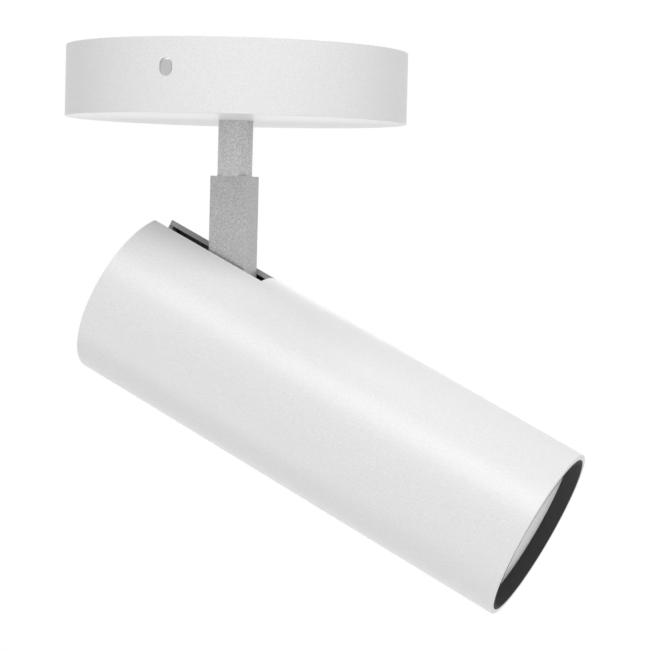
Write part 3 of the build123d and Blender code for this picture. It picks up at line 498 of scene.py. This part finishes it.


# The rod's copy of the stem's lacquer is painted lighter than the tongue's: painted light.
rod_silver_painted_lighter = silver_lacquer("silver lacquer on rod, painted lighter", dark=(0.44, 0.44, 0.44), light=(0.68, 0.68, 0.68))
dress(rod_silver_painted_lighter, "stem_rod")
dress(oxide, "stem_retaining_ring")
dress(zinc, "stem_nut")

low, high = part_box("wave_washer")
wave_middle = (low.z + high.z) / 2
wave_swing = 0.00019
waves = 3
half_strip = 0.00020
strip_inner = 0.00645
strip_outer = 0.0089
strip = [(-half_strip, strip_inner), (-half_strip, strip_outer),
         (half_strip, strip_outer), (half_strip, strip_inner)]
wave = turned("wave_spring", strip, steps=96, body="stem", finish=oxide)
for corner in wave.data.vertices:
    turn = math.atan2(corner.co.y, corner.co.x)
    corner.co.z += wave_middle + wave_swing * math.sin(waves * turn)
dress(oxide, "wave_washer")
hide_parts("wave_washer")


# Grommets: black rubber bushings at the top of the stem, and where the lead passes the head's bulkhead, so
# that no bare edge touches the sheath.
rubber_black = (0.014, 0.014, 0.014)
rubber_bloom = (0.030, 0.030, 0.029)
rubber = Finish("black rubber")
bloom = rubber.noise(size=0.003, detail=4)
rubber.set(
    Base_Color=rubber.mix(bloom, rubber_black, rubber_bloom),
    Roughness=bloom * 0.15 + 0.62,
    Normal=rubber.bump(rubber.noise(size=0.0003), depth=0.00003),
)
dress(rubber, "stem_grommet", "bulkhead_grommet")


# Tongue: a flat-sided aluminium bar, rounded at the pivot, pinned to the stem's spigot by a grub screw and
# finished in the stem's lacquer.
# This copy of the lacquer is darker than the rod's, which carries painted light.
tongue_silver = silver_lacquer("silver lacquer on tongue", dark=(0.37, 0.37, 0.37), light=(0.58, 0.58, 0.58))
dress(tongue_silver, "stem_tongue")
dress(oxide, "tongue_grub_screw")


# Pivot: a blackened M6 button-head bolt through the tongue and the yoke's two arms. Nylon washers give the
# friction that holds the tilt, and a conical spring washer under the lock nut keeps them pressed.
low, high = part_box("pivot_lock_nut")
pivot_height = (low.z + high.z) / 2
head_tilt = math.radians(26)
head_place = Matrix.Translation((0, 0, pivot_height)) @ Matrix.Rotation(head_tilt, 4, "Y")


def in_head(finish):
    """Distances along the head's tube, across it and up from its axis, counted from the pivot."""
    turn = {"Vector": finish.place, "Location": (0, 0, pivot_height), "Rotation": (0, head_tilt, 0)}
    return finish.split(finish.node("Mapping", {"vector_type": "TEXTURE"}, turn))


def head_box(node):
    """Lowest and highest corner of a piece in the head, in the head's own directions."""
    to_head = head_place.inverted()
    corners = [to_head @ corner.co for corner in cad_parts[node].data.vertices]
    return [Vector([end(corner[axis] for corner in corners) for axis in range(3)]) for end in (min, max)]


thread_start = -0.0102
bolt_pitch = 0.001
bolt = black_oxide("black oxide bolt", worn=worn_oxide, roughness=0.3)
along, across, up = in_head(bolt)
groove = (across / bolt_pitch + up.math("ARCTAN2", up, along) / (2 * math.pi)).ripple()
shank = bolt.below(across, thread_start, fade=0.0004)
bolt.set(Normal=bolt.bump(groove * shank, depth=bolt_pitch))
dress(bolt, "pivot_bolt")
dress(zinc, "pivot_lock_nut")
dress(nylon, "pivot_friction_washers")

low, high = head_box("pivot_spring_washer")
cone_place = -high.y
cone_rise = 0.00028
cone_thickness = 0.0005
cone_inner = 0.00308
cone_outer = 0.0059
cone = [(cone_place, cone_inner), (cone_place + cone_thickness, cone_inner),
        (cone_place + cone_thickness + cone_rise, cone_outer), (cone_place + cone_rise, cone_outer)]
along_y = Matrix.Rotation(math.radians(90), 4, "X")
spring = turned("cone_spring", cone, steps=64, body="head", finish=oxide, place=head_place @ along_y)
dress(oxide, "pivot_spring_washer")
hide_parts("pivot_spring_washer")


# Pivot yoke and pillars: the yoke is a black steel disc across the tube with two arms that take the bolt, on
# four screws. Two zinc-plated pillars run back from it to carry the rear cap.
plate_black = (0.018, 0.018, 0.019)
plate_worn = (0.050, 0.049, 0.048)
plate = Finish("black steel plate")
cloud = plate.noise(size=0.004, detail=4)
rolled = plate.noise(size=0.0004, stretch=(1, 1, 0.15))
plate.set(
    Base_Color=plate.mix(cloud, plate_black, plate_worn),
    Metallic=0.5,
    Roughness=cloud * 0.2 + rolled * 0.1 + 0.35,
    Normal=plate.bump(rolled, depth=0.00001),
)
dress(plate, "pivot_yoke")
dress(zinc, "yoke_screws", "cap_pillars")


# Heat sink: a saw-cut length of aluminium extrusion with 24 fins and one wide rib, slid into the tube and
# held by the two screws through the tube's underside. Its cut ends show the saw's marks.
extruded_dark = (0.52, 0.53, 0.54)
extruded_light = (0.66, 0.67, 0.68)
low, high = head_box("heat_sink")
burr = 0.000075
saw_tooth = 0.0004
extrusion = Finish("extruded aluminium")
along, across, up = in_head(extrusion)
drawn = extrusion.noise(size=0.0004, detail=3)
saw = (across / saw_tooth + extrusion.noise(size=0.002)).ripple()
cut_end = 1 - extrusion.between(along, low.x + burr, high.x - burr, fade=0.00005)
extrusion.set(
    Base_Color=extrusion.mix(drawn, extruded_dark, extruded_light),
    Metallic=1.0,
    Roughness=drawn * 0.15 + saw * cut_end * 0.1 + 0.3,
    Normal=extrusion.bump(drawn * 0.2 + saw * cut_end * 0.6, depth=0.00003),
)
dress(extrusion, "heat_sink")
dress(oxide, "chassis_screws")


# Light source: a chip-on-board LED on a white ceramic board, over a grey thermal pad. A moulded ring with
# two screws presses it on the heat sink.
pad_dark = (0.16, 0.17, 0.19)
pad_light = (0.24, 0.25, 0.27)
silicone = Finish("grey thermal pad")
speck = silicone.noise(size=0.0005, detail=3)
silicone.set(
    Base_Color=silicone.mix(speck, pad_dark, pad_light),
    Roughness=speck * 0.15 + 0.7,
    Normal=silicone.bump(speck, depth=0.00004),
)
dress(silicone, "thermal_pad")

alumina_dark = (0.74, 0.74, 0.72)
alumina_light = (0.80, 0.80, 0.79)
pad_gold = (0.75, 0.52, 0.20)
pads_from_centre = 0.007975
pad_half_width = 0.00215
low, high = head_box("led_board")
board_face = high.x - 0.000055
ceramic = Finish("white ceramic board")
along, across, up = in_head(ceramic)
fired = ceramic.noise(size=0.0006, detail=3)
pads = ceramic.above(reach(across, up), pads_from_centre, fade=0.00005)
pads = pads * ceramic.below(abs(across), pad_half_width, fade=0.0001)
pads = pads * ceramic.above(along, board_face, fade=0.00003)
alumina = ceramic.mix(fired, alumina_dark, alumina_light)
ceramic.set(
    Base_Color=ceramic.mix(pads, alumina, pad_gold),
    Metallic=pads,
    Roughness=fired * 0.15 + 0.3,
    Normal=ceramic.bump(fired * 0.3 + pads, depth=0.00002),
)
dress(ceramic, "led_board")

gel_dark = (0.78, 0.52, 0.06)
gel_light = (0.86, 0.62, 0.10)
dam_white = (0.78, 0.78, 0.76)
dam_inner = 0.0060
phosphor = Finish("phosphor and dam")
along, across, up = in_head(phosphor)
dam = phosphor.above(reach(across, up), dam_inner, fade=0.0001)
gel = phosphor.noise(size=0.0008, detail=3)
phosphor.set(
    Base_Color=phosphor.mix(dam, phosphor.mix(gel, gel_dark, gel_light), dam_white),
    Roughness=gel * 0.1 + 0.22,
    Normal=phosphor.bump(gel, depth=0.00003),
)
along_x = Matrix.Rotation(math.radians(90), 4, "Y")
low, high = head_box("led_emitter")
dam_middle = 0.0065
dam_half_width = 0.0005
dam_foot = low.x + 0.0003
dam_rise = 0.0002
gel_edge_height = 0.00036
gel_edge_radius = 0.0059
gel_halfway_height = 0.0004
gel_halfway_radius = 0.0030
gel_crown = 0.00042
arc = [math.radians(degrees) for degrees in range(0, 151, 30)]
chip = [(low.x, 0), (low.x, dam_middle + dam_half_width)]
dam_top = [(dam_foot + dam_rise * math.sin(turn), dam_middle + dam_half_width * math.cos(turn))
           for turn in arc]
gel_top = [(low.x + gel_edge_height, gel_edge_radius), (low.x + gel_halfway_height, gel_halfway_radius),
           (low.x + gel_crown, 0)]
emitter = turned("emitter_dome", chip + dam_top + gel_top, steps=64, body="head", finish=phosphor,
                 place=head_place @ along_x)
dress(phosphor, "led_emitter")
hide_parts("led_emitter")
dress(moulded, "led_holder")
dress(zinc, "led_holder_screws")


# Reflector: a spun aluminium bowl between the LED holder and the gasket, its inside pressed into bright flat
# facets that blend the light of the chip.
mirror_dark = (0.80, 0.80, 0.81)
mirror_light = (0.90, 0.90, 0.90)
mirror = Finish("bright anodised aluminium")
haze = mirror.noise(size=0.002, detail=3)
mirror.set(
    Base_Color=mirror.mix(haze, mirror_dark, mirror_light),
    Metallic=1.0,
    Roughness=haze * 0.08 + 0.08,
    Normal=mirror.bump(mirror.noise(size=0.0006), depth=0.00001),
)
low, high = head_box("reflector")
rings = 11
neck_radius = 0.0115
opening = 0.0231
rounding = 0.0066
bowl_wall = 0.0006
flange_radius = high.y
flange_back = high.x - 0.0010
bowl_back_end = high.x - 0.0015
bowl = []
for i in range(rings + 1):
    # The radius is 11.5 mm at the neck, 21.4 mm halfway and 28 mm at the mouth.
    share = i / rings
    place = low.x + (high.x - low.x) * share
    bowl.append((place, neck_radius + opening * share - rounding * share ** 2))
outside = [(place, radius + bowl_wall) for place, radius in reversed(bowl) if place < bowl_back_end]
flange = [(high.x, flange_radius), (flange_back, flange_radius), (flange_back, bowl[-1][1] + bowl_wall)]
facets = turned("reflector_facets", bowl + flange + outside, steps=36, body="head", finish=mirror,
                place=head_place @ along_x, sharp=1)
dress(mirror, "reflector")
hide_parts("reflector")


# Lens and its rings: a frosted glass disc lies on a rubber gasket and is held by a matte black ring pressed
# in flush with the tube's mouth. The ring's inside hides the bright edge of the lens.
dress(rubber, "lens_gasket")
frost_dark = (0.82, 0.82, 0.82)
frost_light = (0.96, 0.96, 0.96)
glass = Finish("frosted glass")
etch = glass.noise(size=0.0005, detail=3)
glass.set(
    Base_Color=glass.mix(etch, frost_dark, frost_light),
    Roughness=etch * 0.15 + 0.5,
    Normal=glass.bump(etch, depth=0.00006),
)
dress(glass, "lens")

ring_dark = (0.036, 0.036, 0.036)
ring_light = (0.054, 0.054, 0.054)
knurl_pitch = 0.0008
matte = Finish("matte black anodised")
along, across, up = in_head(matte)
knurl = (along / knurl_pitch).ripple()
pore = matte.noise(size=0.0003)
matte.set(
    Base_Color=matte.mix(pore, ring_dark, ring_light),
    Roughness=pore * 0.1 + 0.7,
    Specular_IOR_Level=0.15,
    Normal=matte.bump(knurl * 0.5 + pore, depth=0.00001),
)
dress(matte, "front_ring")


# Head tube: extruded aluminium tube, slotted at the back of its top for the tongue, in the canopy's satin
# white powder. The inside is blackened, and the slot's faces are painted mid-grey as painted shade.
# Mid-grey painted shade for the faces of the slot.
painted_shade_on_slot = (0.58, 0.58, 0.58)
inside_black = (0.085, 0.085, 0.085)
bore_radius = 0.02989
slot_half_width = 0.0077575
slot_front = 0.0012075
slot_bottom = 0.0005
tube, powder, peel, relief = white_powder("white powder coat on tube")
along, across, up = in_head(tube)
inside = tube.below(reach(across, up), bore_radius, fade=0.00002)
# The slot mask puts the painted shade on the slot's faces.
slot = tube.below(abs(across), slot_half_width, fade=0.000005)
slot = slot * tube.below(along, slot_front, fade=0.000005) * tube.above(up, slot_bottom, fade=0.001)
tube.set(
    Base_Color=tube.mix(inside, tube.mix(slot, powder, painted_shade_on_slot), inside_black),
    Roughness=peel * 0.05 + inside * 0.3 + 0.30,
    Normal=tube.bump(relief, depth=coat_depth),
)
dress(tube, "head_tube")


# Rear cap: a white disc, slotted from the top down past the pivot so the tongue can swing out of it. Two
# small blackened countersunk screws hold it to the pillars.
# A band as wide as the slot is painted dark grey: painted shade on the slot's faces.
painted_shade_on_cap_slot = (0.36, 0.36, 0.36)
cap, powder, peel, relief = white_powder("white powder coat on cap")
along, across, up = in_head(cap)
slot = cap.below(abs(across), slot_half_width, fade=0.000005)
cap.set(
    Base_Color=cap.mix(slot, powder, painted_shade_on_cap_slot),
    Roughness=peel * 0.05 + 0.32,
    Normal=cap.bump(relief, depth=coat_depth),
)
dress(cap, "rear_cap")
dress(oxide, "cap_screws")


# Studio: a wide sheet of white paper far below the light, a pale surround and soft boxes. Where the camera
# sees past the paper under the light, itself or in metal or glass, it sees plain white.
def seen(finish):
    """1 for rays that come from the camera, or from it by way of metal or glass."""
    rays = ("Is Camera Ray", "Is Glossy Ray", "Is Transmission Ray")
    return sum(finish.node("LightPath", {}, {}, ray) for ray in rays)


floor_height = -1.2
floor_radius = 12.0
paper_dark = (0.88, 0.88, 0.88)
paper_light = (0.90, 0.90, 0.90)
white_from = 1.4
white_fade = 1.2
floor_mesh = bmesh.new()
bmesh.ops.create_circle(floor_mesh, cap_ends=True, segments=96, radius=floor_radius,
                        matrix=Matrix.Translation((0, 0, floor_height)))
floor_data = bpy.data.meshes.new("studio floor")
floor_mesh.to_mesh(floor_data)
floor = bpy.data.objects.new("studio_floor", floor_data)
bpy.context.scene.collection.objects.link(floor)
paper = Finish("white paper")
fibre = paper.noise(size=0.004, detail=3)
paper.set(Base_Color=paper.mix(fibre, paper_dark, paper_light), Roughness=0.8)
distance = paper.node("VectorMath", {"operation": "LENGTH"}, {0: paper.place}, "Value")
far = paper.above(distance, white_from, fade=white_fade)
plain_white = paper.node("Emission", {}, {"Color": (1, 1, 1, 1), "Strength": 1.0})
lit_paper = Wire(paper, paper.surface.outputs[0])
both = paper.node("MixShader", {}, {0: seen(paper) * far, 1: lit_paper, 2: plain_white})
paper.feed(paper.data.node_tree.nodes["Material Output"].inputs["Surface"], both)
floor_data.materials.append(paper.data)


class Surround(Finish):
    """The world's background, with the shader maths of a finish."""

    def __init__(self, name):
        self.data = bpy.data.worlds.new(name)
        self.data.use_nodes = True
        self.surface = self.data.node_tree.nodes["Background"]


ambient = (0.42, 0.42, 0.42)
white = (1, 1, 1)
studio = Surround("studio")
studio.set(Color=studio.mix(seen(studio), ambient, white))
bpy.context.scene.world = studio.data


def soft_box(name, azimuth, elevation, brightness):
    """A square lamp aimed at the light. Azimuth is counted from the camera's side of it to the right."""
    aim = Vector((0.03, 0, -0.09))
    camera_side = -69.5
    distance = 1.1
    turn = Euler((0, -math.radians(elevation), math.radians(azimuth + camera_side))).to_matrix()
    lamp = bpy.data.lights.new(name, "AREA")
    lamp.shape = "SQUARE"
    lamp.size = 0.5
    lamp.energy = brightness * math.pi * lamp.size ** 2
    lamp_object = bpy.data.objects.new(name, lamp)
    lamp_object.location = aim + turn @ Vector((distance, 0, 0))
    lamp_object.rotation_euler = (aim - lamp_object.location).to_track_quat("-Z", "Y").to_euler()
    bpy.context.scene.collection.objects.link(lamp_object)
    lamp_object.visible_camera = False


for azimuth, brightness in ((-40, 0.8), (-15, 3.2), (15, 3.1), (40, 1.1), (75, 0.7)):
    soft_box(f"front {azimuth}", azimuth, elevation=40, brightness=brightness)
for azimuth, brightness in ((-80, 1.0), (0, 2.1), (80, 0.5)):
    soft_box(f"under {azimuth}", azimuth, elevation=-35, brightness=brightness)
soft_box("under", azimuth=0, elevation=-75, brightness=3.3)
soft_box("back low", azimuth=180, elevation=-8, brightness=0.22)
soft_box("top", azimuth=0, elevation=88, brightness=1.8)
soft_box("back", azimuth=180, elevation=20, brightness=0.8)
soft_box("back right", azimuth=120, elevation=40, brightness=0.5)


# Camera: a long lens a little below the canopy, level with the stem, that sees the head from its left and
# slightly from the front.
camera_place = Vector((0.27608, -0.65855, -0.05317))
look_down = 2.841
look_left = 20.876
roll = 1.4535
camera = bpy.data.cameras.new("camera")
camera.sensor_width = 36.0
camera.lens = 107.896
camera.shift_x = 0.04554
camera.shift_y = -0.04616
camera_object = bpy.data.objects.new("camera", camera)
aim = Euler((math.radians(90 - look_down), 0, math.radians(look_left))).to_matrix()
aim = aim @ Matrix.Rotation(math.radians(roll), 3, "Z")
camera_object.matrix_world = Matrix.Translation(camera_place) @ aim.to_4x4()
bpy.context.scene.collection.objects.link(camera_object)
bpy.context.scene.camera = camera_object
bpy.context.scene.view_settings.view_transform = "Standard"
